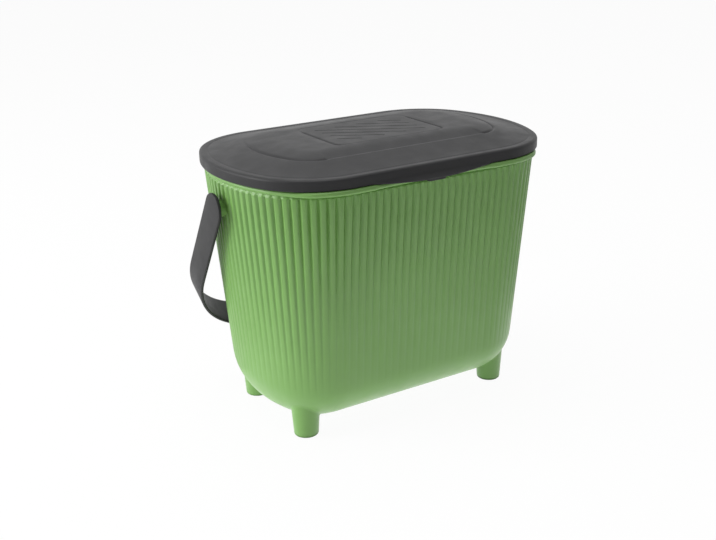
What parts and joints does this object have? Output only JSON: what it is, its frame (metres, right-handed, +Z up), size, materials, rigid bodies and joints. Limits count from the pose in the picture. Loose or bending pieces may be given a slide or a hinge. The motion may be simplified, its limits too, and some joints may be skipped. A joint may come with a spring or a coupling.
{
  "type": "kitchen compost caddy",
  "caption": "Ribbed oblong kitchen compost caddy on short feet, with a crowned lift-off lid, vent filter, strap bail handle and a lift-out drain grid.",
  "frame": {"origin": "on the floor under the middle of the tub", "axes": "+Z up, +X along the length, the lid's lift lip on -Y and the handle hanging on +Y"},
  "size_m": [0.328, 0.2208, 0.2641],
  "materials": {
    "green_plastic": "satin moulded polypropylene",
    "dark_plastic": "fine moulded texture",
    "seal_rubber": "soft elastomer",
    "filter_felt": "charcoal felt",
    "grid_plastic": "moulded polypropylene"
  },
  "bodies": {
    "tub": {"tub": "green_plastic"},
    "lid": {"lid": "dark_plastic", "lid_seal": "seal_rubber", "filter_pad": "filter_felt", "filter_holder": "dark_plastic"},
    "handle": {"handle": "dark_plastic", "pivot_pins": "dark_plastic"},
    "drain_grid": {"drain_grid": "grid_plastic"}
  },
  "joints": [
    {"name": "handle_swing", "type": "hinge", "parent": "tub", "child": "handle", "pos_m": [0, 0, 0.2147], "axis": [1, 0, 0], "range_deg": [0, 293]},
    {"name": "lid_lift", "type": "slide", "parent": "tub", "child": "lid", "axis": [0, 0, 1], "range_m": [0, 0.15]},
    {"name": "drain_grid_lift", "type": "slide", "parent": "tub", "child": "drain_grid", "axis": [0, 0, -1], "range_m": [-0.19, 0]}
  ]
}
